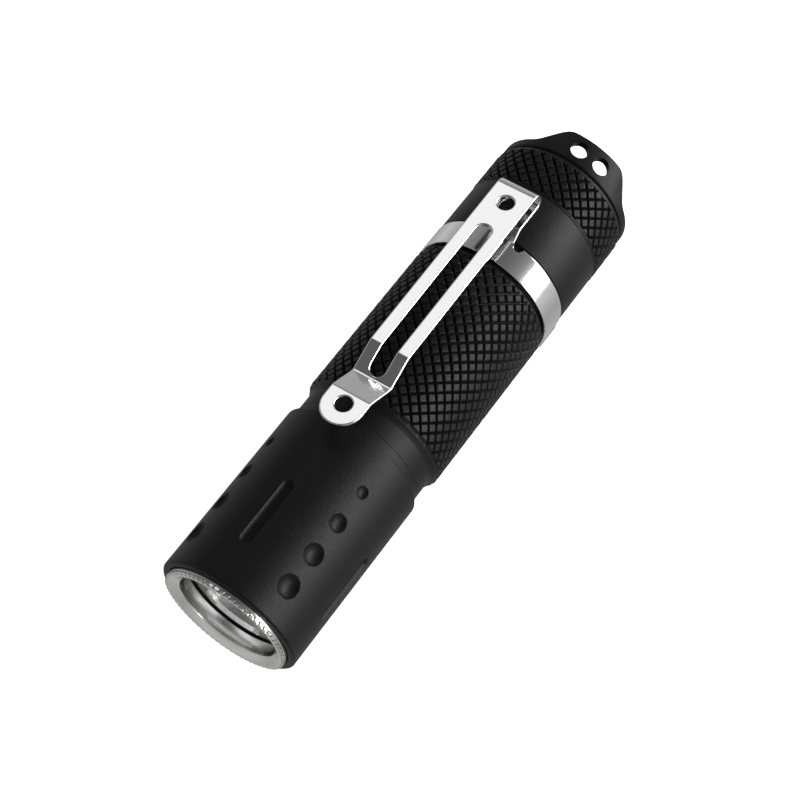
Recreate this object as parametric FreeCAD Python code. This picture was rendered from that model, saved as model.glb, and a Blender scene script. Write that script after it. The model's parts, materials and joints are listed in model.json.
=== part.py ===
"""Keychain flashlight: a one-cell light with a twist head, a click switch in the tail and a pocket clip.

The light lies along X with its beam towards +X and its clip on top (+Z). Stations are distances
from the front of the bezel ring towards the tail, radii are from the light's axis, and both are in
millimetres. The row's origin is the centre of the underside of the whole light's box.
"""
import FreeCAD, Part
import math
import os

V = FreeCAD.Vector

# Driving dimensions of the outside
HEAD_R = 10.0
LENGTH = 80.6                 # bezel front to the tip of the tail lugs
KNURL_R = 10.12               # crests of the knurling, which lie on the ground
KNURL_SIDES = 36              # rows of crests around, each a flat that the light can lie on
NECK_R = 9.35
BAND_R = 10.04
GROOVE_R = 9.3                # bottom of the clip groove
RIM_R = 9.95                  # plain end of the tail cap

# Stations along the outside
HEAD_FRONT = 0.85
HEAD_STRAIGHT_END = 26.6
HEAD_END = 28.0
NECK_END = 30.6
KNURL_START, KNURL_END = 31.9, 56.0
GROOVE_START, GROOVE_END = 56.7, 61.1
SEAM = 69.2                   # joint between tube and tail cap
CAP_KNURL_END = 75.3
CAP_LINE = 76.0               # fine groove behind the tail knurling
RIM = 77.5                    # crown of the tail cap between its lugs

# Inside
CELL_R, CELL_START, CELL_END = 8.3, 30.8, 64.2
TERMINAL_FRONT, TERMINAL_R = 29.7, 3.3
BORE_R = 8.45                 # battery bore of the tube
THREAD_R, THREAD_ROOT_R, THREAD_PITCH = 9.2, 9.02, 1.0
FEMALE_R = 9.25               # inside of the head and of the cap over the tube's threads
TUBE_FRONT, TUBE_REAR = 19.6, 73.9
O_RING_BED_R, O_RING_WIDTH = 8.85, 0.8
HEAD_O_RING, CAP_O_RING = 26.2, 69.7
BEZEL_R, BEZEL_SEAT_END = 8.96, 1.9
BEZEL_NECK_R, BEZEL_NECK_END = 8.6, 4.1
BEZEL_LENS_R, BEZEL_OPENING_R = 8.1, 7.2
LENS_R, LENS_FRONT, LENS_REAR = 8.0, 2.8, 4.2
LENS_SEAL_R, LENS_SEAL_INNER, LENS_SEAL_FRONT = 8.05, 7.35, 2.0
REFLECTOR_R, REFLECTOR_FLANGE_R, REFLECTOR_FLANGE_END = 8.1, 8.6, 5.4
LED_BOARD_FRONT, LED_BOARD_REAR = 15.4, 16.9
SINK_R, SINK_STEP = 8.95, 19.4        # the part of the heat sink that the head's bore grips
SINK_CUP_R, SINK_CUP_WALL, SINK_CUP_FLOOR = 8.2, 0.6, 21.5
DRIVER_FRONT, DRIVER_REAR, SINK_END = 24.6, 25.6, 26.6
SLIDE = 0.1                           # radial clearance of a sliding or screwed fit
EDGE = 0.1                            # small chamfers

# Head decoration, by milling cutters of these radii
DIMPLE_BALL_R = 2.2
DIMPLE_WIDTHS = (3.2, 2.95, 2.5, 1.75)
DIMPLE_FIRST, DIMPLE_STEP = 5.66, 5.04
SLOT_BALL_R, SLOT_WIDTH, SLOT_START, SLOT_END = 1.0, 1.7, 6.5, 16.4
HEAD_CLOCKING = -2.0          # degrees from the clip to the nearest slot of the head

# Tail lugs and lanyard holes
LUG_ANGLE = 22.2              # degrees from the clip to the middle of the drilled lug, towards +Y
LUG_ROOT_HALF, LUG_TIP_HALF = 7.25, 4.45
CROWN_WALL = 1.1
LANYARD_R, LANYARD_STATION, LANYARD_OFFSET = 1.25, 78.4, 1.78

# Pocket clip, one strip of spring steel
CLIP_T, CLIP_W = 0.8, 5.8
COLLAR_R, COLLAR_START, COLLAR_END = 9.33, 56.9, 60.9
COLLAR_HALF_ANGLE, LIP_BEND_R, LIP_ANGLE = 112.0, 1.2, 38.0
CLIP_TIP, CLIP_TIP_TOP = 24.2, 13.1
CLIP_DIP, CLIP_DIP_TOP = 33.0, 11.07
CLIP_FOLD, CLIP_FOLD_TOP = 67.6, 13.25
CLIP_SLOT = (32.9, 59.3, 2.3)
CLIP_HOLES = (27.3, 63.5)
CLIP_HOLE_R = 1.15
CLIP_BEND_R, DIP_BEND_R = 1.0, 1.6
DIP_HALF, DIP_RISE = 4.1, 1.75        # half the dip's length, and its climb to the long arm
CLIP_DRILL_FROM = 11.9                # the holes and the slot go through the arm only

FRONT_X = LENGTH / 2
AXIS_Z = KNURL_R


def at(station, radius, across=0.0):
    """Point at a station and a radius above the axis, in the build frame (the axis on X)."""
    return V(FRONT_X - station, across, radius)


def revolve(outline):
    """Solid of revolution about the light's axis of a closed outline of (station, radius)."""
    points = [at(*p) for p in outline]
    face = Part.Face(Part.makePolygon(points + points[:1]))
    return face.revolve(V(0, 0, 0), V(1, 0, 0), 360)


def tube(start, end, outer, inner=0.0):
    """Plain disc or tube between two stations."""
    return revolve([(start, inner), (start, outer), (end, outer), (end, inner)])


def rod(start_point, end_point, radius):
    """Round bar between two points."""
    way = end_point - start_point
    return Part.makeCylinder(radius, way.Length, start_point, way)


def box(start, end, low, high, half_width):
    """Block between two stations and two heights, centred across the light."""
    corner = V(FRONT_X - end, -half_width, low)
    return Part.makeBox(end - start, 2 * half_width, high - low, corner)


def fuse(shapes):
    return shapes[0].multiFuse(shapes[1:]).removeSplitter()


def turned(shape, degrees):
    """Copy turned about the light's axis, from +Z towards +Y when the angle is positive."""
    copy = shape.copy()
    copy.rotate(V(0, 0, 0), V(1, 0, 0), -degrees)
    return copy


def rounded_wire(points, radii):
    """Closed wire through the points, each corner rounded to its radius (0 keeps it sharp)."""
    count = len(points)
    starts, ends, middles = [], [], []
    for i, (point, radius) in enumerate(zip(points, radii)):
        back = (points[i - 1] - point).normalize()
        on = (points[(i + 1) % count] - point).normalize()
        half = back.getAngle(on) / 2
        reach = radius / math.tan(half)
        starts.append(point + back * reach)
        ends.append(point + on * reach)
        bisector = (back + on).normalize()
        middles.append(point + bisector * (radius / math.sin(half) - radius))
    edges = []
    for i in range(count):
        if radii[i] > 0:
            edges.append(Part.Arc(starts[i], middles[i], ends[i]).toShape())
        following = starts[(i + 1) % count]
        if ends[i].distanceToPoint(following) > 1e-6:
            edges.append(Part.makeLine(ends[i], following))
    return Part.Wire(edges)


def strip_wire(points, bend_radii, thickness):
    """Closed side view of a strip: its middle line goes through the points with round bends."""
    half = thickness / 2
    across = V(0, 1, 0)
    near, far = [], []
    for i in range(len(points) - 1):
        way = (points[i + 1] - points[i]).normalize()
        side = across.cross(way) * half
        near.append((points[i] + side, points[i + 1] + side, way))
        far.append((points[i] - side, points[i + 1] - side, way))

    def corners(lines, inward):
        out, radii = [lines[0][0]], [0.0]
        for (a, _, way), (c, _, on), radius in zip(lines, lines[1:], bend_radii):
            normal = V(-on.z, 0, on.x)
            step = (c - a).dot(normal) / way.dot(normal)
            out.append(a + way * step)
            turn = across.dot(way.cross(on))
            radii.append(radius - half if turn * inward > 0 else radius + half)
        return out + [lines[-1][1]], radii + [0.0]

    near_points, near_radii = corners(near, 1)
    far_points, far_radii = corners(far, -1)
    return rounded_wire(near_points + far_points[::-1], near_radii + far_radii[::-1])


def knurling(start, end):
    """Sleeve with a flat for each row of the knurling's crests, one flat straight down."""
    corner_r = KNURL_R / math.cos(math.pi / KNURL_SIDES)
    angles = [2 * math.pi * (n + 0.5) / KNURL_SIDES for n in range(KNURL_SIDES)]
    corners = [at(end, corner_r * math.cos(a), corner_r * math.sin(a)) for a in angles]
    prism = Part.Face(Part.makePolygon(corners + corners[:1])).extrude(V(end - start, 0, 0))
    return prism.cut(tube(start - 1, end + 1, THREAD_R + 0.2))


# Head

def head_shell():
    outline = [
        (HEAD_FRONT, BEZEL_R + SLIDE - 0.01), (HEAD_FRONT, HEAD_R - 0.25),
        (HEAD_FRONT + 0.25, HEAD_R), (HEAD_STRAIGHT_END, HEAD_R),
        (HEAD_STRAIGHT_END + 0.7, HEAD_R - 0.15), (HEAD_STRAIGHT_END + 1.2, HEAD_R - 0.5),
        (HEAD_END, 9.42), (HEAD_END, FEMALE_R), (SINK_STEP + SLIDE, FEMALE_R),
        (SINK_STEP + SLIDE, SINK_R + 0.05), (LED_BOARD_REAR, SINK_R + 0.05),
        (LED_BOARD_REAR, REFLECTOR_R + SLIDE), (REFLECTOR_FLANGE_END, REFLECTOR_R + SLIDE),
        (REFLECTOR_FLANGE_END, REFLECTOR_FLANGE_R + SLIDE),
        (BEZEL_SEAT_END, REFLECTOR_FLANGE_R + SLIDE), (BEZEL_SEAT_END, BEZEL_R + SLIDE - 0.01),
    ]
    shell = revolve(outline)
    cuts = []
    for quarter in range(4):
        slot_angle = HEAD_CLOCKING + 90 * quarter
        for n, width in enumerate(DIMPLE_WIDTHS):
            rise = math.sqrt(DIMPLE_BALL_R ** 2 - (width / 2) ** 2)
            ball = Part.makeSphere(DIMPLE_BALL_R, at(DIMPLE_FIRST + n * DIMPLE_STEP, HEAD_R + rise))
            cuts.append(turned(ball, slot_angle + 45))
        rise = math.sqrt(SLOT_BALL_R ** 2 - (SLOT_WIDTH / 2) ** 2)
        first = at(SLOT_START + SLOT_WIDTH / 2, HEAD_R + rise)
        last = at(SLOT_END - SLOT_WIDTH / 2, HEAD_R + rise)
        cutter = fuse([rod(first, last, SLOT_BALL_R), Part.makeSphere(SLOT_BALL_R, first),
                       Part.makeSphere(SLOT_BALL_R, last)])
        cuts.append(turned(cutter, slot_angle))
    return shell.cut(Part.makeCompound(cuts))


def bezel_ring():
    shoulder = BEZEL_SEAT_END - SLIDE
    return revolve([
        (0.0, 8.35), (0.0, BEZEL_R - 0.11), (0.12, BEZEL_R), (shoulder, BEZEL_R),
        (shoulder, BEZEL_NECK_R), (BEZEL_NECK_END, BEZEL_NECK_R), (BEZEL_NECK_END, BEZEL_LENS_R),
        (LENS_SEAL_FRONT, BEZEL_LENS_R), (LENS_SEAL_FRONT, BEZEL_OPENING_R), (0.7, BEZEL_OPENING_R),
    ])


def lens():
    return revolve([
        (LENS_FRONT, 0.0), (LENS_FRONT, LENS_R - EDGE), (LENS_FRONT + EDGE, LENS_R),
        (LENS_REAR - EDGE, LENS_R), (LENS_REAR, LENS_R - EDGE), (LENS_REAR, 0.0),
    ])


def lens_o_ring():
    shoulder = LENS_SEAL_R - 0.15
    return revolve([
        (LENS_SEAL_FRONT, LENS_SEAL_INNER), (LENS_SEAL_FRONT, shoulder),
        (LENS_SEAL_FRONT + 0.2, LENS_SEAL_R), (LENS_FRONT - 0.2, LENS_SEAL_R),
        (LENS_FRONT, shoulder), (LENS_FRONT, LENS_SEAL_INNER),
    ])


REFLECTOR_APEX = 15.9         # station where the parabola would close
REFLECTOR_FOCUS = 1.2
REFLECTOR_MOUTH_R, REFLECTOR_HOLE_R = 7.3, 2.6
REFLECTOR_REAR, REFLECTOR_REAR_R = LED_BOARD_FRONT - 0.2, 4.4


def reflector():
    def wall(radius):
        return REFLECTOR_APEX - radius ** 2 / (4 * REFLECTOR_FOCUS)

    steps = 12
    radii = [REFLECTOR_HOLE_R + (REFLECTOR_MOUTH_R - REFLECTOR_HOLE_R) * i / steps
             for i in range(steps + 1)]
    curve = Part.BSplineCurve()
    curve.interpolate([at(wall(r), r) for r in radii])
    outline = [
        at(wall(REFLECTOR_MOUTH_R), REFLECTOR_MOUTH_R), at(LENS_REAR, REFLECTOR_MOUTH_R + 0.1),
        at(LENS_REAR, REFLECTOR_FLANGE_R), at(REFLECTOR_FLANGE_END, REFLECTOR_FLANGE_R),
        at(REFLECTOR_FLANGE_END, REFLECTOR_R), at(9.0, REFLECTOR_R),
        at(REFLECTOR_REAR, REFLECTOR_REAR_R), at(REFLECTOR_REAR, REFLECTOR_HOLE_R),
        at(wall(REFLECTOR_HOLE_R), REFLECTOR_HOLE_R),
    ]
    edges = [curve.toShape()] + [Part.makeLine(a, b) for a, b in zip(outline, outline[1:])]
    face = Part.Face(Part.Wire(Part.sortEdges(edges)[0]))
    return face.revolve(V(0, 0, 0), V(1, 0, 0), 360)


EMITTER_HALF, EMITTER_HEIGHT, DOME_R = 1.75, 0.6, 1.3


def led_gasket():
    return tube(REFLECTOR_REAR, LED_BOARD_FRONT, 5.0, REFLECTOR_HOLE_R)


def led_emitter():
    front = LED_BOARD_FRONT - EMITTER_HEIGHT
    return box(front, LED_BOARD_FRONT, -EMITTER_HALF, EMITTER_HALF, EMITTER_HALF)


def led_dome():
    base = LED_BOARD_FRONT - EMITTER_HEIGHT
    return Part.makeSphere(DOME_R, at(base, 0)).common(tube(base - 2 * DOME_R, base, 2 * DOME_R))


WIRE_Y, WIRE_R, WIRE_HOLE_R = 4.6, 0.45, 0.8


def led_board():
    board = tube(LED_BOARD_FRONT, LED_BOARD_REAR, REFLECTOR_R - SLIDE)
    return board.cut(Part.makeCompound([wire_hole(side) for side in (-1, 1)]))


def wire_hole(side):
    """Clearance for one of the two leads through the board and the heat sink."""
    across = side * WIRE_Y
    return rod(at(LED_BOARD_FRONT - 0.5, 0, across), at(DRIVER_REAR, 0, across), WIRE_HOLE_R)


def heat_sink():
    cup_inner = SINK_CUP_R - SINK_CUP_WALL
    body = revolve([
        (LED_BOARD_REAR, 0.0), (LED_BOARD_REAR, SINK_R), (SINK_STEP, SINK_R),
        (SINK_STEP, SINK_CUP_R), (SINK_END, SINK_CUP_R), (SINK_END, cup_inner),
        (SINK_CUP_FLOOR, cup_inner), (SINK_CUP_FLOOR, 0.0),
    ])
    return body.cut(Part.makeCompound([wire_hole(side) for side in (-1, 1)]))


def led_wire(side):
    across = side * WIRE_Y
    return rod(at(LED_BOARD_FRONT, 0, across), at(DRIVER_FRONT, 0, across), WIRE_R)


DRIVER_R = SINK_CUP_R - SINK_CUP_WALL - 0.05
CHIP_HEIGHT, CHIP_LOW, CHIP_HIGH, CHIP_HALF = 1.0, 1.2, 4.4, 1.9
INDUCTOR_HEIGHT, INDUCTOR_R, INDUCTOR_DROP = 2.4, 2.0, 3.0


def driver_board():
    return tube(DRIVER_FRONT, DRIVER_REAR, DRIVER_R)


def driver_chip():
    return box(DRIVER_FRONT - CHIP_HEIGHT, DRIVER_FRONT, CHIP_LOW, CHIP_HIGH, CHIP_HALF)


def driver_inductor():
    end = at(DRIVER_FRONT, -INDUCTOR_DROP)
    return rod(at(DRIVER_FRONT - INDUCTOR_HEIGHT, -INDUCTOR_DROP), end, INDUCTOR_R)


def driver_retaining_ring():
    return tube(DRIVER_REAR, SINK_END, DRIVER_R, DRIVER_R - 1.95)


def coil(start, end, radius, wire_r, turns):
    """Compression spring along the axis with its ends inside the two stations."""
    height = end - start - 2 * wire_r
    helix = Part.makeLongHelix(height / turns, height, radius)
    ring = Part.Wire(Part.makeCircle(wire_r, V(radius, 0, 0), V(0, 1, 0)))
    spring = Part.Wire(helix.Edges).makePipeShell([ring], True, True)
    spring.rotate(V(0, 0, 0), V(0, 1, 0), -90)
    spring.translate(V(FRONT_X - start - wire_r, 0, 0))
    return spring


def positive_contact_spring():
    return coil(DRIVER_REAR, TERMINAL_FRONT, radius=2.2, wire_r=0.3, turns=3)


# Body

def thread(start, end):
    """Outline of ring-shaped thread crests between two stations, front to rear."""
    outline = []
    count = int((end - start) / THREAD_PITCH)
    for n in range(count):
        foot = start + n * THREAD_PITCH
        outline += [(foot, THREAD_ROOT_R), (foot + 0.3, THREAD_R), (foot + 0.6, THREAD_R),
                    (foot + 0.9, THREAD_ROOT_R)]
    return outline


def body_tube():
    plain = revolve([
        (TUBE_FRONT, BORE_R), (TUBE_FRONT, THREAD_ROOT_R), *thread(TUBE_FRONT + 0.2, 26.0),
        (HEAD_O_RING, THREAD_ROOT_R), (HEAD_O_RING, O_RING_BED_R),
        (HEAD_O_RING + O_RING_WIDTH, O_RING_BED_R), (HEAD_O_RING + O_RING_WIDTH, THREAD_R),
        (HEAD_END + 0.1, THREAD_R), (HEAD_END + 0.1, NECK_R), (NECK_END, NECK_R),
        (KNURL_START - 0.6, 9.8), (KNURL_START, HEAD_R), (KNURL_END, HEAD_R),
        (GROOVE_START - 0.3, 9.75), (GROOVE_START, 9.5), (GROOVE_START, GROOVE_R),
        (GROOVE_END, GROOVE_R), (GROOVE_END, BAND_R - 0.1), (GROOVE_END + 0.1, BAND_R),
        (SEAM - 0.15, BAND_R), (SEAM, BAND_R - 0.15), (SEAM, THREAD_R), (CAP_O_RING, THREAD_R),
        (CAP_O_RING, O_RING_BED_R), (CAP_O_RING + O_RING_WIDTH, O_RING_BED_R),
        (CAP_O_RING + O_RING_WIDTH, THREAD_ROOT_R),
        *thread(CAP_O_RING + O_RING_WIDTH + 0.2, TUBE_REAR),
        (TUBE_REAR, THREAD_ROOT_R), (TUBE_REAR, BORE_R),
    ])
    return fuse([plain, knurling(KNURL_START, KNURL_END)])


def o_ring(start):
    """Thread seal squeezed between its bed in the tube and the part that screws over it."""
    top = FEMALE_R - 0.02
    end = start + O_RING_WIDTH
    return revolve([
        (start + 0.02, O_RING_BED_R + 0.01), (start + 0.02, top - 0.1), (start + 0.15, top),
        (end - 0.15, top), (end - 0.02, top - 0.1), (end - 0.02, O_RING_BED_R + 0.01),
    ])


def battery_cell():
    return revolve([
        (CELL_START, 0.0), (CELL_START, CELL_R - 0.5), (CELL_START + 0.5, CELL_R),
        (CELL_END - 0.4, CELL_R), (CELL_END, CELL_R - 0.4), (CELL_END, 0.0),
    ])


def battery_terminal():
    return revolve([
        (TERMINAL_FRONT, 0.0), (TERMINAL_FRONT, TERMINAL_R - 0.4),
        (TERMINAL_FRONT + 0.2, TERMINAL_R - 0.2), (CELL_START, TERMINAL_R), (CELL_START, 0.0),
    ])


# Tail

WEB_FRONT, WEB_REAR = 75.8, 76.7
BOOT_HOLE_R = 6.0
BOOT_FLANGE_FRONT = 75.0
CAP_STEP = 74.0               # end of the cap's thread for the tube
CAP_SMALL_R = 8.75            # cap's thread for the switch retaining ring
SWITCH_R, SWITCH_FRONT = 6.8, 68.4
PLUNGER_R, PLUNGER_SEAT, PLUNGER_TOP, SPRING_SEAT = 2.4, 71.9, 76.9, 68.9
SWITCH_BOARD_FRONT = SWITCH_FRONT - 1.0
BOOT_INNER_R, BOOT_FLANGE_R, BOOT_NECK_R = 4.6, 8.7, 5.7
BOOT_TOP, BOOT_WALL_FRONT = 78.95, 77.0


def tail_cap():
    crown_inner = RIM_R - CROWN_WALL
    shell = revolve([
        (SEAM + 0.05, FEMALE_R), (SEAM + 0.05, BAND_R - 0.15), (SEAM + 0.2, BAND_R),
        (CAP_KNURL_END, BAND_R), (CAP_LINE - 0.1, BAND_R - 0.25), (CAP_LINE, 9.7),
        (CAP_LINE + 0.15, 9.7), (CAP_LINE + 0.3, RIM_R), (LENGTH - 0.2, RIM_R),
        (LENGTH, RIM_R - 0.2), (LENGTH, crown_inner), (WEB_REAR, crown_inner),
        (WEB_REAR, BOOT_HOLE_R), (WEB_FRONT, BOOT_HOLE_R), (WEB_FRONT, CAP_SMALL_R),
        (CAP_STEP, CAP_SMALL_R), (CAP_STEP, FEMALE_R),
    ])
    far = RIM_R + 2
    outline = [at(SEAM - 1, 0, -far), at(RIM, 0, -far), at(RIM, 0, -LUG_ROOT_HALF),
               at(LENGTH, 0, -LUG_TIP_HALF), at(LENGTH, 0, LUG_TIP_HALF),
               at(RIM, 0, LUG_ROOT_HALF), at(RIM, 0, far), at(SEAM - 1, 0, far)]
    radii = [0, 0, 0.8, 1.1, 1.1, 0.8, 0, 0]
    keep = Part.Face(rounded_wire(outline, radii)).extrude(V(0, 0, 4 * far))
    keep.translate(V(0, 0, -2 * far))
    shell = shell.common(turned(keep, LUG_ANGLE))
    shell = fuse([shell, knurling(SEAM + 0.4, CAP_KNURL_END)])
    holes = [rod(at(LANYARD_STATION, 5.0, side * LANYARD_OFFSET),
                 at(LANYARD_STATION, 12.0, side * LANYARD_OFFSET), LANYARD_R) for side in (-1, 1)]
    return shell.cut(turned(Part.makeCompound(holes), LUG_ANGLE))


def switch_retaining_ring():
    return tube(CAP_STEP, BOOT_FLANGE_FRONT, CAP_SMALL_R - 0.02, SWITCH_R)


def switch_board():
    return tube(SWITCH_BOARD_FRONT, SWITCH_FRONT, SWITCH_R - 0.2)


def switch_housing():
    return revolve([
        (SWITCH_FRONT, 0.0), (SWITCH_FRONT, SWITCH_R), (BOOT_FLANGE_FRONT - 0.05, SWITCH_R),
        (BOOT_FLANGE_FRONT - 0.05, PLUNGER_R + 0.1), (SPRING_SEAT, PLUNGER_R + 0.1),
        (SPRING_SEAT, 0.0),
    ])


def switch_plunger():
    return revolve([
        (PLUNGER_SEAT, 0.0), (PLUNGER_SEAT, PLUNGER_R), (PLUNGER_TOP - 0.5, PLUNGER_R),
        (PLUNGER_TOP, PLUNGER_R - 0.5), (PLUNGER_TOP, 0.0),
    ])


def switch_spring():
    return coil(SPRING_SEAT, PLUNGER_SEAT, radius=1.7, wire_r=0.2, turns=4)


def switch_boot():
    """Rubber cover: a flange under the web of the cap and a dome that stands out through it."""
    return revolve([
        (BOOT_FLANGE_FRONT, BOOT_INNER_R), (BOOT_FLANGE_FRONT, BOOT_FLANGE_R),
        (WEB_FRONT, BOOT_FLANGE_R), (WEB_FRONT, BOOT_NECK_R), (BOOT_TOP - 1.35, BOOT_NECK_R),
        (BOOT_TOP - 0.75, 5.3), (BOOT_TOP - 0.35, 4.5), (BOOT_TOP - 0.1, 3.2), (BOOT_TOP, 1.6),
        (BOOT_TOP, 0.0), (BOOT_WALL_FRONT, 0.0), (BOOT_WALL_FRONT, BOOT_INNER_R),
    ])


def tail_spring():
    return coil(CELL_END, SWITCH_BOARD_FRONT, radius=3.6, wire_r=0.35, turns=3)


# Clip

def pocket_clip():
    half = CLIP_T / 2
    leaf_middle = KNURL_R + 0.15 + half
    middle = [
        at(CLIP_TIP, CLIP_TIP_TOP - half), at(CLIP_DIP - DIP_HALF, CLIP_TIP_TOP - half),
        at(CLIP_DIP, CLIP_DIP_TOP - half), at(CLIP_DIP + DIP_HALF, CLIP_DIP_TOP - half + DIP_RISE),
        at(CLIP_FOLD - half, CLIP_FOLD_TOP - half), at(CLIP_FOLD - half, leaf_middle),
        at(GROOVE_END - 0.2, leaf_middle), at(GROOVE_END - 1.8, COLLAR_R + half),
        at(COLLAR_START + 0.6, COLLAR_R + half),
    ]
    bends = [DIP_BEND_R] * 3 + [CLIP_BEND_R] * 4
    side_view = Part.Face(strip_wire(middle, bends, CLIP_T))
    strip = side_view.extrude(V(0, CLIP_W, 0))
    strip.translate(V(0, -CLIP_W / 2, 0))

    half_w = CLIP_W / 2
    end = CLIP_FOLD + 1
    plan = [at(CLIP_TIP, 0, -half_w), at(end, 0, -half_w), at(end, 0, half_w), at(CLIP_TIP, 0, half_w)]
    plan_face = Part.Face(rounded_wire(plan, [half_w - 0.01, 0, 0, half_w - 0.01]))
    strip = strip.common(plan_face.extrude(V(0, 0, 20)))

    slot_start, slot_end, slot_width = CLIP_SLOT
    slot_r = slot_width / 2
    above, sky = CLIP_DRILL_FROM - half, 2 * CLIP_FOLD_TOP
    ends = (slot_start + slot_r, slot_end - slot_r)
    cuts = [box(*ends, COLLAR_R, sky, slot_r)]
    cuts += [rod(at(s, COLLAR_R), at(s, sky), slot_r) for s in ends]
    cuts += [rod(at(s, above), at(s, sky), CLIP_HOLE_R) for s in CLIP_HOLES]
    collar_guard = tube(COLLAR_START - 1, COLLAR_END + 0.5, 11.4)
    strip = strip.cut(fuse(cuts).cut(collar_guard))

    section = Part.Face(Part.makePolygon([
        at(COLLAR_START, COLLAR_R), at(COLLAR_END, COLLAR_R), at(COLLAR_END, COLLAR_R + CLIP_T),
        at(COLLAR_START, COLLAR_R + CLIP_T), at(COLLAR_START, COLLAR_R)]))
    pieces = [strip]
    for side in (-1, 1):
        pieces.append(section.revolve(V(0, 0, 0), V(1, 0, 0), side * COLLAR_HALF_ANGLE))
        lip = section.revolve(V(0, 0, COLLAR_R + CLIP_T + LIP_BEND_R), V(1, 0, 0), -side * LIP_ANGLE)
        lip.rotate(V(0, 0, 0), V(1, 0, 0), side * COLLAR_HALF_ANGLE)
        pieces.append(lip)
    return fuse(pieces)


NODES = {
    "head_shell": head_shell(),
    "bezel_ring": bezel_ring(),
    "lens": lens(),
    "lens_o_ring": lens_o_ring(),
    "reflector": reflector(),
    "led_gasket": led_gasket(),
    "led_emitter": led_emitter(),
    "led_dome": led_dome(),
    "led_board": led_board(),
    "heat_sink": heat_sink(),
    "led_wire_positive": led_wire(1),
    "led_wire_negative": led_wire(-1),
    "driver_board": driver_board(),
    "driver_chip": driver_chip(),
    "driver_inductor": driver_inductor(),
    "driver_retaining_ring": driver_retaining_ring(),
    "positive_contact_spring": positive_contact_spring(),
    "body_tube": body_tube(),
    "head_o_ring": o_ring(HEAD_O_RING),
    "tail_o_ring": o_ring(CAP_O_RING),
    "battery_cell": battery_cell(),
    "battery_terminal": battery_terminal(),
    "tail_cap": tail_cap(),
    "tail_spring": tail_spring(),
    "switch_board": switch_board(),
    "switch_housing": switch_housing(),
    "switch_plunger": switch_plunger(),
    "switch_spring": switch_spring(),
    "switch_retaining_ring": switch_retaining_ring(),
    "switch_boot": switch_boot(),
    "pocket_clip": pocket_clip(),
}


def main():
    os.makedirs("parts", exist_ok=True)
    for name, shape in NODES.items():
        shape.translate(V(0, 0, AXIS_Z))
        solids = shape.Solids
        print(f"{name:26s} solids {len(solids)} valid {shape.isValid()} volume {shape.Volume:9.2f}")
        (solids[0] if len(solids) == 1 else shape).exportStep(f"parts/{name}.step")


main()
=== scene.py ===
"""Look of the keychain flashlight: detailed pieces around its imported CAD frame.

Stations run from the bezel's front towards the tail, radii from the light's axis and angles from
the clip (+Z) towards +Y. Sizes are in millimetres and degrees until a mesh is made.
"""
import json
import math

import bmesh
import bpy
import numpy as np
from mathutils import Matrix, Vector


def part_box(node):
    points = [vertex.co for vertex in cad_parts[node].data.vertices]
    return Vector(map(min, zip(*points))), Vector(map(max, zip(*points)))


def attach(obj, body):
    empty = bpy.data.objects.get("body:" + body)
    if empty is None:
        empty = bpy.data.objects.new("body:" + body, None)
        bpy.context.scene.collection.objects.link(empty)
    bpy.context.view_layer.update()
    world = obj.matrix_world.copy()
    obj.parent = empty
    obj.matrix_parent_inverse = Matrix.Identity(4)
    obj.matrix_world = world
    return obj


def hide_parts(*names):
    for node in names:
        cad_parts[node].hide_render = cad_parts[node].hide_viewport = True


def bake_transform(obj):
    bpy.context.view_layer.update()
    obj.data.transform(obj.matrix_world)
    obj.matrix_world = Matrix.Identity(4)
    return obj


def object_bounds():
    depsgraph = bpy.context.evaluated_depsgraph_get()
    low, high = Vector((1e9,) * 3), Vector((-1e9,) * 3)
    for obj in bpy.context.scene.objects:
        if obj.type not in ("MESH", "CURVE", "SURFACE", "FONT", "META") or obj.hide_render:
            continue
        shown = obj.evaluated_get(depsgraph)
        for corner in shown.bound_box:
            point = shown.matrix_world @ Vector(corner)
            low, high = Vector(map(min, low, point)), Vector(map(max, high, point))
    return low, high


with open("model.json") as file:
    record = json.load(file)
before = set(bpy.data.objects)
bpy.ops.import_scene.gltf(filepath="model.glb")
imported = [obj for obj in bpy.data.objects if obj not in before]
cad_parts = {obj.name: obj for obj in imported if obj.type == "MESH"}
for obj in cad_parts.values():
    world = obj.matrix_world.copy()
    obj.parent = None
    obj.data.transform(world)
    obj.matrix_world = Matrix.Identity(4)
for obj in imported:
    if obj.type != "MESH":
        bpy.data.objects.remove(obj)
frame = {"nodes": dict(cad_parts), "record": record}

CAD_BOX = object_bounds()

MM = 0.001
TAU = 2 * math.pi
FRONT = CAD_BOX[1][0]                                            # bezel front
AXIS = (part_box("head_shell")[0].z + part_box("head_shell")[1].z) / 2


def stations(node):
    """First and last station of a CAD node."""
    low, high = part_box(node)
    return (FRONT - high.x) / MM, (FRONT - low.x) / MM


def radius(node):
    low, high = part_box(node)
    return (high.y - low.y) / 2 / MM


# Main sizes, from the frame where a node has them
HEAD_START, HEAD_END = stations("head_shell")
HEAD_R = radius("head_shell")
KNURL_R = radius("body_tube")
LENGTH = (CAD_BOX[1][0] - CAD_BOX[0][0]) / MM
SEAM = stations("tail_cap")[0] - 0.05
RIM_R = 9.95
NECK_R, NECK_STOP = 9.35, 30.6
BAND_R = 10.04                    # smooth band between the clip's groove and the tail cap
TUBE_BORE_R, THREAD_R = 8.45, 9.0

# Groove around the tube that the clip's collar sits in
GROOVE_START, GROOVE_STOP, GROOVE_R = 56.7, 61.1, 9.3

# Knurling
ROWS_AROUND = 36
ROW_PITCH = 1.79                  # along the tube
STEPS = 12                        # mesh steps per pitch, both ways
GROOVE_DEPTH, GROOVE_SHARE = 0.42, 0.34
KNURL_START, KNURL_STOP = 31.9, 56.0
CAP_KNURL_STOP = 75.3

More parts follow.
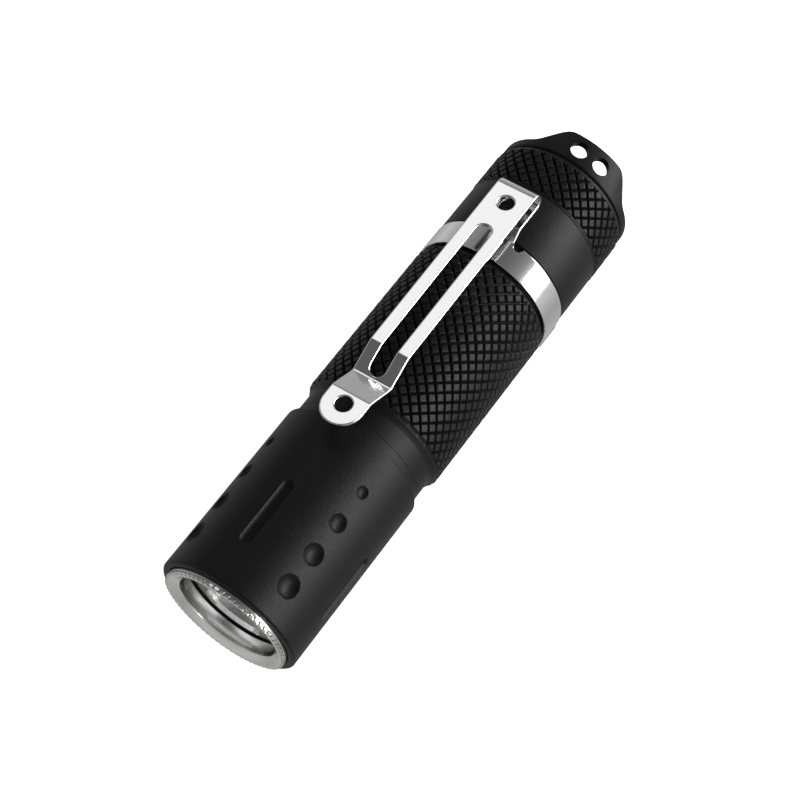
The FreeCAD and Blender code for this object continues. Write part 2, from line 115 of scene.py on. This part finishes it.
# Camera, as seen from where the photograph was taken
VIEW_AZIMUTH, VIEW_ELEVATION, VIEW_ROLL = 130.51, 57.16, -7.04
VIEW_DISTANCE, VIEW_LENS = 0.25476, 88.68
VIEW_AIM = Vector((0.0025, 0.00004, AXIS))
LEAN = 0.412                      # how far the camera looks along the flashlight, as a sine


# Mesh making

def at(station, radius, angle=0.0):
    """Point on the light, in metres, from its station, radius and angle."""
    turn = math.radians(angle)
    return Vector((FRONT - station * MM, radius * math.sin(turn) * MM,
                   AXIS + radius * math.cos(turn) * MM))


def finish_mesh(name, mesh, body, slot, sharp=35.0):
    """Smooth-shaded object of a mesh with its slot's material, which rides on a body if named."""
    mesh.shade_smooth()
    mesh.set_sharp_from_angle(angle=math.radians(sharp))
    mesh.materials.append(MATERIALS[slot])
    obj = bpy.data.objects.new(name, mesh)
    bpy.context.scene.collection.objects.link(obj)
    if body:
        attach(obj, body)
    return obj


def soften(outline, size):
    """Closed outline with each corner replaced by a small round of that reach."""
    points = [Vector(p) for p in outline]
    out = []
    for before, corner, after in zip(points[-1:] + points[:-1], points, points[1:] + points[:1]):
        back, on = before - corner, after - corner
        start = corner + back.normalized() * min(size, 0.4 * back.length)
        end = corner + on.normalized() * min(size, 0.4 * on.length)
        out += [start, (start + corner * 2 + end) / 4, end]
    return [tuple(p) for p in out]


def along(start, stop, step, r):
    """Outline points at a fine even spacing, for a stretch that carries relief."""
    count = round((stop - start) / step)
    return [(start + (stop - start) * n / count, r) for n in range(count + 1)]


def lathe(name, outline, segments, relief=None, shift=None):
    """Mesh of a closed (station, radius) outline turned about the axis.

    relief(station, radius, angles) may give each point of a ring its own radius, and
    shift(station, radius, angles) its own station."""
    angles = np.arange(segments) * TAU / segments
    verts = np.empty((len(outline), segments, 3))
    for ring, (station, r) in zip(verts, outline):
        radii = relief(station, r, angles) if relief else np.full(segments, r)
        ring[:, 0] = FRONT - (shift(station, r, angles) if shift else station) * MM
        ring[:, 1] = radii * np.sin(angles) * MM
        ring[:, 2] = AXIS + radii * np.cos(angles) * MM
    index = np.arange(len(outline) * segments).reshape(len(outline), segments)
    after, beside = np.roll(index, -1, 0), np.roll(index, -1, 1)
    corner = np.roll(after, -1, 1)
    faces = np.stack([index, after, corner, beside], -1).reshape(-1, 4)
    mesh = bpy.data.meshes.new(name)
    mesh.from_pydata(verts.reshape(-1, 3).tolist(), [], faces.tolist())
    tidy_mesh(mesh, split=relief or shift)
    return mesh


def tidy_mesh(mesh, split=False):
    """Merge points that coincide, as on the axis, and turn all faces outwards.

    Relief is split into triangles along its creases, which are its quads' shorter diagonals."""
    bm = bmesh.new()
    bm.from_mesh(mesh)
    bmesh.ops.remove_doubles(bm, verts=bm.verts, dist=1e-7)
    bmesh.ops.recalc_face_normals(bm, faces=bm.faces)
    if split:
        bmesh.ops.triangulate(bm, faces=bm.faces, quad_method="SHORT_EDGE")
    bm.to_mesh(mesh)
    bm.free()


def prism(name, outline, low=0.0, high=30.0):
    """Throwaway object to cut with: a plan outline of (station, across) pushed up in radius."""
    bm = bmesh.new()
    face = bm.faces.new([bm.verts.new(at(s, low) + Vector((0, y * MM, 0))) for s, y in outline])
    grown = bmesh.ops.extrude_face_region(bm, geom=[face])
    for vert in grown["geom"]:
        if isinstance(vert, bmesh.types.BMVert):
            vert.co.z += (high - low) * MM
    bmesh.ops.recalc_face_normals(bm, faces=bm.faces)
    mesh = bpy.data.meshes.new(name)
    bm.to_mesh(mesh)
    bm.free()
    obj = bpy.data.objects.new(name, mesh)
    bpy.context.scene.collection.objects.link(obj)
    return obj


def cut(obj, cutter, operation="DIFFERENCE"):
    """Apply one boolean and delete its cutter."""
    change = obj.modifiers.new("cut", "BOOLEAN")
    change.object, change.operation, change.solver = cutter, operation, "EXACT"
    apply_modifiers(obj)
    bpy.data.objects.remove(cutter)


def stadium(start, stop, half, steps=24):
    """Plan outline of a round-ended slot."""
    turns = [math.pi * n / steps for n in range(steps + 1)]
    return ([(start + half - half * math.sin(t), -half * math.cos(t)) for t in turns]
            + [(stop - half + half * math.sin(t), half * math.cos(t)) for t in turns])


# Knurled tube and tail cap

def knurling(start, stop):
    """Relief of crossed helical grooves between two stations, with flat-topped pads between."""
    def relief(station, r, angles):
        if not start <= station <= stop or r < HEAD_R - 1:
            return np.full(angles.shape, r)
        around, forward = angles / TAU * ROWS_AROUND, (station - start) / ROW_PITCH
        away = np.minimum(*[np.abs((p + 0.5) % 1 - 0.5) for p in (around + forward,
                                                                  around - forward)])
        wall = np.clip(1 - away / (GROOVE_SHARE / 2), 0, 1)
        return np.minimum(r, KNURL_R - GROOVE_DEPTH * wall)
    return relief


def tube_piece():
    front, rear = stations("body_tube")
    step = ROW_PITCH / STEPS
    outer = soften([
        (front, TUBE_BORE_R), (front, THREAD_R), (HEAD_END + 0.03, 9.2),
        (HEAD_END + 0.03, NECK_R), (NECK_STOP, NECK_R), (KNURL_START - 0.5, 9.75)], 0.12)[3:]
    outer += [(KNURL_START - 0.35, 9.8)] + along(KNURL_START, KNURL_STOP, step, KNURL_R)
    outer += [(KNURL_STOP + 0.3, 9.8)]
    outer += soften([
        (GROOVE_START - 0.3, 9.75), (GROOVE_START, 9.6), (GROOVE_START, GROOVE_R),
        (GROOVE_STOP, GROOVE_R), (GROOVE_STOP, BAND_R), (SEAM, BAND_R), (SEAM, 9.1),
        (rear, THREAD_R), (rear, TUBE_BORE_R), (front, TUBE_BORE_R)], 0.1)[3:-3]
    mesh = lathe("tube", outer, ROWS_AROUND * STEPS, knurling(KNURL_START, KNURL_STOP))
    tube = finish_mesh("knurled_tube", mesh, "body_tube", "anodised_black", sharp=30)
    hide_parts("body_tube")


CAP_LINE = 76.15                  # bottom of the fine groove between cap and crown
RIM, WEB_REAR, CROWN_INNER = 77.5, 76.7, 8.85
LUG_ANGLE, LUG_ROOT_HALF, LUG_TIP_HALF = 22.2, 7.25, 4.45
LUG_TIP_ROUND, LUG_ROOT_ROUND = 0.9, 0.7
LANYARD_R, LANYARD_STATION, LANYARD_OFFSET = 1.25, 78.4, 1.78


def cap_piece():
    knurl_start = SEAM + 0.4
    outline = soften([(75.8, 8.75), (74.0, 8.75), (74.0, 9.25), (SEAM + 0.05, 9.25),
                      (SEAM + 0.05, BAND_R), (knurl_start, BAND_R)], 0.1)[1:-1]
    outline += along(knurl_start, CAP_KNURL_STOP, ROW_PITCH / STEPS, KNURL_R)
    outline += [(75.45, 9.98), (75.85, 9.9), (76.0, 9.7), (CAP_LINE, 9.66), (CAP_LINE, 8.9)]
    mesh = lathe("cap", outline, ROWS_AROUND * STEPS, knurling(knurl_start, CAP_KNURL_STOP))
    cap = finish_mesh("knurled_cap", mesh, "tail_cap", "anodised_black", sharp=30)
    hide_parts("tail_cap")


def smooth_lower(a, b, reach):
    """Lower of two values, blended where they are closer than reach."""
    share = np.clip(0.5 + 0.5 * (b - a) / reach, 0, 1)
    return b + (a - b) * share - reach * share * (1 - share)


def crown_edge(station, _, angles):
    """Pull the end of the crown in to its rim, except at the two lugs."""
    across = np.abs(RIM_R * np.sin(angles - math.radians(LUG_ANGLE)))
    slope = (LENGTH - RIM) / (LUG_ROOT_HALF - LUG_TIP_HALF)
    side = LENGTH - slope * (across - LUG_TIP_HALF)
    edge = smooth_lower(side, np.full(angles.shape, LENGTH), LUG_TIP_ROUND)
    edge = -smooth_lower(-edge, np.full(angles.shape, -RIM), LUG_ROOT_ROUND)
    share = max(0.0, station - WEB_REAR) / (LENGTH - WEB_REAR)
    return station + share * (edge - LENGTH)


def crown_piece():
    outline = soften([
        (CAP_LINE, 8.8), (CAP_LINE, 9.68), (CAP_LINE + 0.17, RIM_R), (LENGTH, RIM_R),
        (LENGTH, CROWN_INNER), (WEB_REAR, CROWN_INNER), (WEB_REAR, 6.0), (75.8, 6.0),
        (75.8, 8.8)], 0.18)
    mesh = lathe("crown", outline, 480, shift=crown_edge)
    crown = finish_mesh("crown", mesh, "tail_cap", "anodised_black")
    drills = bmesh.new()
    for side in (-1, 1):
        turn = Matrix.Rotation(-math.radians(LUG_ANGLE), 4, "X")
        middle = Vector((0, side * LANYARD_OFFSET * MM, 9.4 * MM))
        place = Matrix.Translation(at(LANYARD_STATION, 0)) @ turn @ Matrix.Translation(middle)
        bmesh.ops.create_cone(drills, cap_ends=True, segments=64, radius1=LANYARD_R * MM,
                              radius2=LANYARD_R * MM, depth=4 * MM, matrix=place)
    mesh = bpy.data.meshes.new("drills")
    drills.to_mesh(mesh)
    cutter = bpy.data.objects.new("drills", mesh)
    bpy.context.scene.collection.objects.link(cutter)
    cut(crown, cutter)
    crown.data.set_sharp_from_angle(angle=math.radians(35))


def apply_modifiers(obj):
    depsgraph = bpy.context.evaluated_depsgraph_get()
    mesh = bpy.data.meshes.new_from_object(obj.evaluated_get(depsgraph))
    obj.modifiers.clear()
    obj.data = mesh


def boot_piece():
    outline = soften([
        (75.0, 4.6), (75.0, 8.7), (75.8, 8.7), (75.8, 5.75), (77.6, 5.7), (78.2, 5.3),
        (78.6, 4.5), (78.85, 3.2), (78.95, 1.6)], 0.25)[1:-1]
    outline += [(78.95, 0.0), (77.0, 0.0), (77.0, 4.6)]
    boot = finish_mesh("rubber_boot", lathe("boot", outline, 96), None, "rubber_black")
    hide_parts("switch_boot")
    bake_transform(boot)


COIL_R, WIRE_R, COIL_TURNS, TURN_STEPS = 1.7, 0.2, 4, 32


def switch_spring_piece():
    """Return spring of the switch, which the plunger squeezes."""
    start, stop = stations("switch_spring")
    curve = bpy.data.curves.new("coil", "CURVE")
    curve.dimensions, curve.use_fill_caps = "3D", True
    curve.bevel_depth, curve.bevel_resolution = WIRE_R * MM, 3
    count = COIL_TURNS * TURN_STEPS
    wire = curve.splines.new("POLY")
    wire.points.add(count)
    for n, point in enumerate(wire.points):
        place = start + WIRE_R + n / count * (stop - start - 2 * WIRE_R)
        point.co = at(place, COIL_R, 360 * n / TURN_STEPS).to_4d()
    coil = bpy.data.objects.new("coil", curve)
    bpy.context.scene.collection.objects.link(coil)
    mesh = bpy.data.meshes.new_from_object(coil)
    bpy.data.objects.remove(coil)
    spring = finish_mesh("return_spring", mesh, None, "spring_steel")
    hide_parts("switch_spring")
    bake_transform(spring)


# Head

DIMPLE_BALL = 0.65                # cutter's radius over the dimple's width
DIMPLE_FIRST, DIMPLE_STEP, DIMPLE_WIDTHS = 5.66, 5.04, (3.2, 2.95, 2.5, 1.75)
SLOT_BALL_R, SLOT_WIDTH, SLOT_START, SLOT_STOP = 1.0, 1.7, 6.5, 16.4
HEAD_CLOCKING = -2.0
EDGE_ROUND = 0.02
HEAD_REAR = 26.7                  # where the barrel steps down to the head's short neck
HEAD_NECK_R = NECK_R + 0.02
HEAD_BORES = [(HEAD_END, 9.25), (19.5, 9.25), (19.5, 9.0), (16.9, 9.0), (16.9, 8.2),
              (5.4, 8.2), (5.4, 8.7), (1.9, 8.7), (1.9, 9.05), (HEAD_START, 9.05)]
RELIEF_START, RELIEF_STOP = 3, 24


def milled(station, angles, turn, start, stop, ball_r, width):
    """Radius at which a ball cutter that ran from start to stop left the head."""
    centre = HEAD_R + math.sqrt(ball_r ** 2 - (width / 2) ** 2)
    off = angles - math.radians(turn)
    past = max(start - station, station - stop, 0.0)
    inside = ball_r ** 2 - past ** 2 - (centre * np.sin(off)) ** 2
    milled_r = centre * np.cos(off) - np.sqrt(np.maximum(inside, 0))
    return np.where((inside > 0) & (np.cos(off) > 0), milled_r, HEAD_R + 1)


def head_relief(station, r, angles):
    """Four rows of round dimples around the head, with a slot between each two rows."""
    radii = np.full(angles.shape, r)
    if r < HEAD_R or not RELIEF_START < station < RELIEF_STOP:
        return radii
    half = SLOT_WIDTH / 2
    for turn in range(0, 360, 90):
        cuts = [milled(station, angles, HEAD_CLOCKING + turn, SLOT_START + half,
                       SLOT_STOP - half, SLOT_BALL_R, SLOT_WIDTH)]
        for n, width in enumerate(DIMPLE_WIDTHS):
            middle = DIMPLE_FIRST + n * DIMPLE_STEP
            cuts.append(milled(station, angles, HEAD_CLOCKING + 45 + turn, middle, middle,
                               DIMPLE_BALL * width, width))
        for milled_r in cuts:
            lower = smooth_lower(radii, milled_r, EDGE_ROUND)
            radii = np.where(milled_r < HEAD_R + EDGE_ROUND, lower, radii)
    return radii


def head_piece():
    rear = [(HEAD_REAR - 0.14, HEAD_R), (HEAD_REAR, HEAD_R - 0.12),
            (HEAD_REAR + 0.08, HEAD_NECK_R), (HEAD_END, HEAD_NECK_R)]
    front = [(HEAD_START, HEAD_R - 0.25), (HEAD_START + 0.25, HEAD_R)]
    inside = soften(rear + HEAD_BORES + front, 0.07)
    outline = along(HEAD_START + 0.35, HEAD_REAR - 0.25, 0.12, HEAD_R) + inside
    mesh = lathe("head", outline, 600, head_relief)
    head = finish_mesh("head_barrel", mesh, "head", "anodised_black", sharp=12)
    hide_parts("head_shell")


TEETH, TOOTH_STEPS = 72, 8
TOOTH_DEPTH, TOOTH_HALF, TOOTH_INNER_R = 0.38, 0.24, 8.68


def bezel_teeth(station, r, angles):
    """Fine notches across the corner between the ring's front and its rim."""
    if r <= TOOTH_INNER_R or station > 0.2:
        return np.full(angles.shape, station)
    away = np.abs((angles / TAU * TEETH + 0.5) % 1 - 0.5)
    return station + TOOTH_DEPTH * np.clip(1 - away / TOOTH_HALF, 0, 1)


def bezel_piece():
    outline = soften([
        (0.5, 8.96), (1.8, 8.96), (1.8, 8.6), (4.1, 8.6), (4.1, 8.1), (2.0, 8.1), (2.0, 7.34),
        (2.6, 7.34), (2.6, 7.2), (0.7, 7.2), (0.0, 8.35), (0.0, TOOTH_INNER_R)], 0.06)
    outline += [(0.0, 8.86), (0.03, 8.93), (0.1, 8.96)]
    mesh = lathe("bezel", outline, TEETH * TOOTH_STEPS, shift=bezel_teeth)
    bezel = finish_mesh("toothed_bezel", mesh, "head", "bezel_steel", sharp=25)
    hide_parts("bezel_ring")


# Pocket clip: a stamped blank bent along a path, and its collar

CLIP_T, COLLAR_T, CLIP_HALF = 0.5, 0.8, 2.9
CLIP_EDGE_ROUND = 0.16
COLLAR_START, COLLAR_STOP, COLLAR_R = 56.9, 60.9, 9.73
COLLAR_HALF_ANGLE, LIP_R, LIP_ANGLE, LIP_STEPS = 112.0, 1.6, 38.0, 10
# corners of the strip's middle line as (station, radius), and the bend at each inner corner
CLIP_PATH = [(24.2, 12.85), (28.9, 12.85), (33.0, 10.82), (37.1, 12.57), (67.35, 13.0),
             (67.35, 10.52), (62.4, 10.52), (60.7, COLLAR_R), (60.3, COLLAR_R)]
CLIP_BENDS = [1.2, 0.9, 1.6, 1.5, 0.9, 1.0, 1.0]
CLIP_HOLES, CLIP_HOLE_R = (27.3, 63.5), 1.15
# slots as start, stop and half their width
CLIP_SLOT = 33.45, 59.3, 1.15
LEAF_SLOT = 62.9, 66.4, 1.6
CURL_STATIONS = 61.0, 62.6        # the leaf turns from round to flat between these
LEAF_COLUMNS, LEAF_STEP = 12, 0.3
NOTCH_ANGLE, NOTCH_HALF_ANGLE, NOTCH_DEPTH = 21.75, 4.2, 0.9


def bent_path(corners, bends, step=0.12):
    """Points along a line through the corners with round bends."""
    points = [Vector(p) for p in corners]
    out = [points[0]]
    for before, corner, after, bend in zip(points, points[1:], points[2:], bends):
        back, on = (before - corner).normalized(), (after - corner).normalized()
        half = back.angle(on) / 2
        start, end = corner + back * bend / math.tan(half), corner + on * bend / math.tan(half)
        centre = corner + (back + on).normalized() * bend / math.sin(half)
        turn = (start - centre).angle_signed(end - centre)
        count = max(3, round(abs(turn) * bend / step))
        for n in range(count + 1):
            arm = (start - centre).copy()
            arm.rotate(Matrix.Rotation(-turn * n / count, 2))
            out.append(centre + arm)
    return out + [points[-1]]


def leaf_rows(path):
    """Split the part of the path past its fold, which curls, into short steps.

    Returns the path and the place of the fold in it."""
    fold = max(range(len(path)), key=lambda n: path[n].x)
    out = path[:fold + 1]
    for here, there in zip(path[fold:], path[fold + 1:]):
        count = max(1, math.ceil((there - here).length / LEAF_STEP))
        out += [here.lerp(there, (n + 1) / count) for n in range(count)]
    return out, fold


def sheet(name, middles, across, spread, thickness):
    """Solid strip of a thickness along middle points; spread gives a row's offsets from them.

    All but the thickness are in metres. Rows of one width are joined column by column."""
    bm = bmesh.new()
    top, under = [], []
    for n, middle in enumerate(middles):
        way = middles[min(n + 1, len(middles) - 1)] - middles[max(n - 1, 0)]
        rise = across.cross(way).normalized() * thickness / 2 * MM
        top.append([bm.verts.new(middle + rise + off) for off in spread(n)])
        under.append([bm.verts.new(middle - rise + off) for off in spread(n)])
    for side in (top, under):
        for row, following in zip(side, side[1:]):
            if len(row) == len(following):
                for a, b, c, d in zip(row, row[1:], following[1:], following):
                    bm.faces.new((a, b, c, d))
            else:
                bm.faces.new(row + following[::-1])
    for end in (0, -1):
        bm.faces.new(top[end] + under[end][::-1])
    for n in range(len(middles) - 1):
        for edge in (0, -1):
            bm.faces.new((top[n][edge], top[n + 1][edge], under[n + 1][edge], under[n][edge]))
    bmesh.ops.recalc_face_normals(bm, faces=bm.faces)
    mesh = bpy.data.meshes.new(name)
    bm.to_mesh(mesh)
    bm.free()
    return finish_mesh(name, mesh, "pocket_clip", "clip_steel")


def round_edges(obj):
    """Round the sheet's sharp edges, each in a few flats that catch the light as thin lines."""
    edge = obj.modifiers.new("edges", "BEVEL")
    edge.width, edge.segments, edge.limit_method = CLIP_EDGE_ROUND * MM, 3, "ANGLE"
    edge.angle_limit, edge.use_clamp_overlap = math.radians(50), False
    apply_modifiers(obj)
    obj.data.shade_smooth()
    obj.data.set_sharp_from_angle(angle=math.radians(12))
    flats = obj.modifiers.new("flats", "WEIGHTED_NORMAL")
    flats.weight, flats.keep_sharp = 100, True
    apply_modifiers(obj)


def clip_spring():
    """Arm and leaf as one bent sheet, cut to its plan, holes and slots."""
    path, fold = leaf_rows(bent_path(CLIP_PATH, CLIP_BENDS))
    half = CLIP_HALF + 0.1

    def spread(n):
        if n <= fold:
            return [Vector((0, off * MM, 0)) for off in (-half, half)]
        curl = float(np.interp(path[n].x, CURL_STATIONS, (1, 0)))
        offs = np.linspace(-half, half, LEAF_COLUMNS + 1)
        return [Vector((0, off, curl * (math.sqrt(COLLAR_R ** 2 - off ** 2) - COLLAR_R))) * MM
                for off in offs]

    clip = sheet("clip_spring", [at(*p) for p in path], Vector((0, 1, 0)), spread, CLIP_T)
    tip, above = CLIP_PATH[0][0], CLIP_PATH[1][1] - 1.2
    cut(clip, prism("plan", stadium(tip, 2 * LENGTH, CLIP_HALF, 48)), "INTERSECT")
    for hole in CLIP_HOLES:
        outline = stadium(hole - CLIP_HOLE_R, hole + CLIP_HOLE_R, CLIP_HOLE_R)
        cut(clip, prism("hole", outline[:-1], low=above))
    cut(clip, prism("slot", stadium(*CLIP_SLOT), low=COLLAR_R + COLLAR_T))
    cut(clip, prism("leaf_slot", stadium(*LEAF_SLOT), high=above))
    round_edges(clip)
    return clip


def clip_collar():
    """Strip round the tube, from one flared lip to the other, notched beside the leaf."""
    middle = (COLLAR_START + COLLAR_STOP) / 2
    half = (COLLAR_STOP - COLLAR_START) / 2
    turns = np.arange(-COLLAR_HALF_ANGLE, COLLAR_HALF_ANGLE + 0.1, 0.5)
    ring = [(turn, at(middle, COLLAR_R, turn)) for turn in turns]
    for side in (-1, 1):
        end = side * COLLAR_HALF_ANGLE
        centre = at(middle, COLLAR_R + LIP_R, end)
        for n in range(1, LIP_STEPS + 1):
            arm = at(middle, COLLAR_R, end) - centre
            arm.rotate(Matrix.Rotation(side * math.radians(LIP_ANGLE) * n / LIP_STEPS, 3, "X"))
            ring.append((end + side * n, centre + arm))
    ring.sort(key=lambda row: row[0])

    def spread(n):
        off = (abs(ring[n][0]) - NOTCH_ANGLE) / NOTCH_HALF_ANGLE
        rear = half - NOTCH_DEPTH * math.sqrt(max(0.0, 1 - off ** 2))
        return [Vector((half, 0, 0)) * MM, Vector((-rear, 0, 0)) * MM]

    collar = sheet("clip_collar", [point for _, point in ring], Vector((-1, 0, 0)), spread,
                   COLLAR_T)
    round_edges(collar)


def clip_pieces():
    clip = clip_spring()
    clip_collar()
    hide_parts("pocket_clip")


# Materials

NOISE_SPAN = 0.3, 0.7             # where most of the noise's values lie


def shader(name, color, roughness, metallic=0.0, **sockets):
    """Principled material with its uniform values set on the shader itself."""
    mat = bpy.data.materials.new(name)
    mat.use_nodes = True
    bsdf = mat.node_tree.nodes["Principled BSDF"]
    bsdf.inputs["Base Color"].default_value = (*color, 1.0)
    bsdf.inputs["Roughness"].default_value = roughness
    bsdf.inputs["Metallic"].default_value = metallic
    for socket, value in sockets.items():
        bsdf.inputs[socket.replace("_", " ")].default_value = value
    return mat, bsdf


def noise(mat, scale):
    """Noise over the object's own coordinates, in metres; scale is features per metre."""
    nodes, links = mat.node_tree.nodes, mat.node_tree.links
    coord = nodes.new("ShaderNodeTexCoord")
    texture = nodes.new("ShaderNodeTexNoise")
    texture.inputs["Scale"].default_value = scale
    texture.inputs["Detail"].default_value = 4.0
    links.new(coord.outputs["Object"], texture.inputs["Vector"])
    return texture.outputs["Fac"]


def span(mat, source, low, high):
    """Map noise around its middle to a range of values."""
    node = mat.node_tree.nodes.new("ShaderNodeMapRange")
    node.inputs["From Min"].default_value, node.inputs["From Max"].default_value = NOISE_SPAN
    node.inputs["To Min"].default_value = low
    node.inputs["To Max"].default_value = high
    mat.node_tree.links.new(source, node.inputs["Value"])
    return node.outputs["Result"]


def tint(mat, bsdf, source, dark, light):
    """Vary the base colour between two colours."""
    ramp = mat.node_tree.nodes.new("ShaderNodeValToRGB")
    ramp.color_ramp.elements[0].position, ramp.color_ramp.elements[1].position = NOISE_SPAN
    ramp.color_ramp.elements[0].color = (*dark, 1)
    ramp.color_ramp.elements[1].color = (*light, 1)
    mat.node_tree.links.new(source, ramp.inputs["Fac"])
    mat.node_tree.links.new(ramp.outputs["Color"], bsdf.inputs["Base Color"])


def bump(mat, bsdf, source, height):
    node = mat.node_tree.nodes.new("ShaderNodeBump")
    node.inputs["Strength"].default_value = 1.0
    node.inputs["Distance"].default_value = height
    mat.node_tree.links.new(source, node.inputs["Height"])
    mat.node_tree.links.new(node.outputs["Normal"], bsdf.inputs["Normal"])


def plain(name, color, roughness, metallic=0.0, grain=2500, bump_height=2e-6, contrast=0.1,
          **sockets):
    """Everyday finish: slight mottling of colour and gloss, and a fine grain."""
    mat, bsdf = shader(name, color, roughness, metallic, **sockets)
    source = noise(mat, grain)
    tint(mat, bsdf, source, [c * (1 - contrast) for c in color],
         [min(1, c * (1 + contrast)) for c in color])
    mat.node_tree.links.new(span(mat, source, roughness * 0.85, roughness * 1.15),
                            bsdf.inputs["Roughness"])
    bump(mat, bsdf, source, bump_height)
    return mat


def glass():
    mat, _ = shader("lens_glass", (1, 1, 1), 0.0, IOR=1.45, Transmission_Weight=1.0)
    return mat


def make_materials():
    steel = dict(metallic=1.0)
    return {
        "anodised_black": plain("anodised_black", (0.004, 0.004, 0.0042), 0.46, grain=6000,
                                bump_height=4e-5, contrast=0.5, Specular_IOR_Level=0.22),
        "bezel_steel": plain("bezel_steel", (0.74, 0.74, 0.73), 0.2, grain=5000,
                             bump_height=1e-7, contrast=0.03, **steel),
        "clip_steel": plain("clip_steel", (0.80, 0.80, 0.80), 0.15, grain=6000,
                            bump_height=1e-7, contrast=0.03, **steel),
        "rubber_black": plain("rubber_black", (0.015, 0.015, 0.015), 0.6),
        "reflector_aluminium": plain("reflector_aluminium", (0.92, 0.92, 0.92), 0.12, grain=400,
                                     bump_height=4e-6, **steel),
        "emitter_ceramic": plain("emitter_ceramic", (0.85, 0.85, 0.80), 0.4),
        "emitter_silicone": plain("emitter_silicone", (0.85, 0.70, 0.20), 0.1),
        "board_white": plain("board_white", (0.8, 0.8, 0.8), 0.4),
        "bare_aluminium": plain("bare_aluminium", (0.7, 0.7, 0.71), 0.3, **steel),
        "wire_red": plain("wire_red", (0.5, 0.03, 0.02), 0.4),
        "wire_black": plain("wire_black", (0.02, 0.02, 0.02), 0.4),
        "board_green": plain("board_green", (0.02, 0.18, 0.06), 0.35),
        "chip_black": plain("chip_black", (0.02, 0.02, 0.02), 0.5),
        "brass": plain("brass", (0.75, 0.55, 0.25), 0.3, **steel),
        "spring_steel": plain("spring_steel", (0.72, 0.68, 0.55), 0.25, **steel),
        "battery_sleeve": plain("battery_sleeve", (0.05, 0.14, 0.35), 0.3),
        "battery_nickel": plain("battery_nickel", (0.8, 0.79, 0.75), 0.2, **steel),
        "white_plastic": plain("white_plastic", (0.8, 0.8, 0.76), 0.4),
        "lens_glass": glass(),
    }


def dress_frame():
    """Give every CAD node that stays the material of its slot."""
    slots = {row["node"]: row["material_slot"] for row in frame["record"]["subparts"]}
    for node, obj in frame["nodes"].items():
        obj.data.materials.clear()
        obj.data.materials.append(MATERIALS[slots[node]])


# Set

def camera():
    cam = bpy.data.objects.new("camera", bpy.data.cameras.new("camera"))
    bpy.context.scene.collection.objects.link(cam)
    azimuth, elevation = math.radians(VIEW_AZIMUTH), math.radians(VIEW_ELEVATION)
    forward = Vector((-math.sin(azimuth) * math.cos(elevation),
                      math.cos(azimuth) * math.cos(elevation), -math.sin(elevation)))
    turn = forward.to_track_quat("-Z", "Y").to_matrix()
    cam.matrix_world = (Matrix.Translation(VIEW_AIM - forward * VIEW_DISTANCE)
                        @ turn.to_4x4() @ Matrix.Rotation(math.radians(VIEW_ROLL), 4, "Z"))
    cam.data.lens = VIEW_LENS
    cam.data.clip_start = 0.01
    bpy.context.scene.camera = cam


def softbox(name, turn, width, length, distance, radiance):
    """Rectangular light that the camera can see mirrored in the side of a bright cylinder.

    turn is its place around the flashlight's axis, in degrees from the top towards +Y, and width
    the angle that it spans there. Its length runs along the axis."""
    around = math.radians(turn)
    direction = (-LEAN, math.sqrt(1 - LEAN ** 2) * math.sin(around),
                 math.sqrt(1 - LEAN ** 2) * math.cos(around))
    size = length, 2 * distance * math.tan(math.radians(width / 2))
    data = bpy.data.lights.new(name, "AREA")
    data.shape = "RECTANGLE"
    data.size, data.size_y = size
    data.energy = radiance * math.pi * size[0] * size[1]
    light = bpy.data.objects.new(name, data)
    bpy.context.scene.collection.objects.link(light)
    back = Vector(direction).normalized()
    light.location = Vector((0, 0, AXIS)) + back * distance
    lengthwise = (Vector((1, 0, 0)) - back * back.x).normalized()
    facing = Matrix((lengthwise, back.cross(lengthwise), back)).transposed()
    light.rotation_euler = facing.to_euler()


# radiance of the surroundings by the height of a direction, from straight down to straight up
SKY = [(-1.0, 0.5), (-0.84, 0.45), (-0.6, 0.4), (-0.2, 0.6), (0.0, 0.5), (0.5, 0.3),
       (0.85, 0.13), (1.0, 0.08)]


def sky(world):
    """Surroundings that are brightest around the horizon and dark overhead."""
    nodes, links = world.node_tree.nodes, world.node_tree.links
    coord = nodes.new("ShaderNodeTexCoord")
    split = nodes.new("ShaderNodeSeparateXYZ")
    scale = nodes.new("ShaderNodeMapRange")
    scale.inputs["From Min"].default_value = -1
    ramp = nodes.new("ShaderNodeValToRGB")
    stops = ramp.color_ramp.elements
    while len(stops) < len(SKY):
        stops.new(0.5)
    for stop, (height, radiance) in zip(stops, SKY):
        stop.position = (height + 1) / 2
        stop.color = (radiance, radiance, radiance, 1)
    links.new(coord.outputs["Generated"], split.inputs["Vector"])
    links.new(split.outputs["Z"], scale.inputs["Value"])
    links.new(scale.outputs["Result"], ramp.inputs["Fac"])
    background = nodes["Background"]
    background.inputs["Strength"].default_value = 1.0
    links.new(ramp.outputs["Color"], background.inputs["Color"])


def studio():
    world = bpy.context.scene.world or bpy.data.worlds.new("studio")
    bpy.context.scene.world = world
    world.use_nodes = True
    sky(world)
    softbox("key", 66.5, 13, 0.9, 0.5, 10.5)
    softbox("key_wing", 81, 16, 0.9, 0.5, 3.2)
    softbox("top", -22.75, 16, 0.3, 0.6, 1.0)
    bpy.ops.mesh.primitive_plane_add(size=4.0)
    floor = bpy.context.object
    floor.name = "floor"
    mat, bsdf = shader("floor_white", (0.9, 0.9, 0.9), 0.9)
    bsdf.inputs["Emission Color"].default_value = (1, 1, 1, 1)
    bsdf.inputs["Emission Strength"].default_value = 1.0
    floor.data.materials.append(mat)
    floor.visible_glossy = False
    floor.visible_diffuse = False
    bpy.context.scene.view_settings.view_transform = "Standard"


MATERIALS = make_materials()
dress_frame()
tube_piece()
cap_piece()
crown_piece()
boot_piece()
switch_spring_piece()
head_piece()
bezel_piece()
clip_pieces()
studio()
camera()
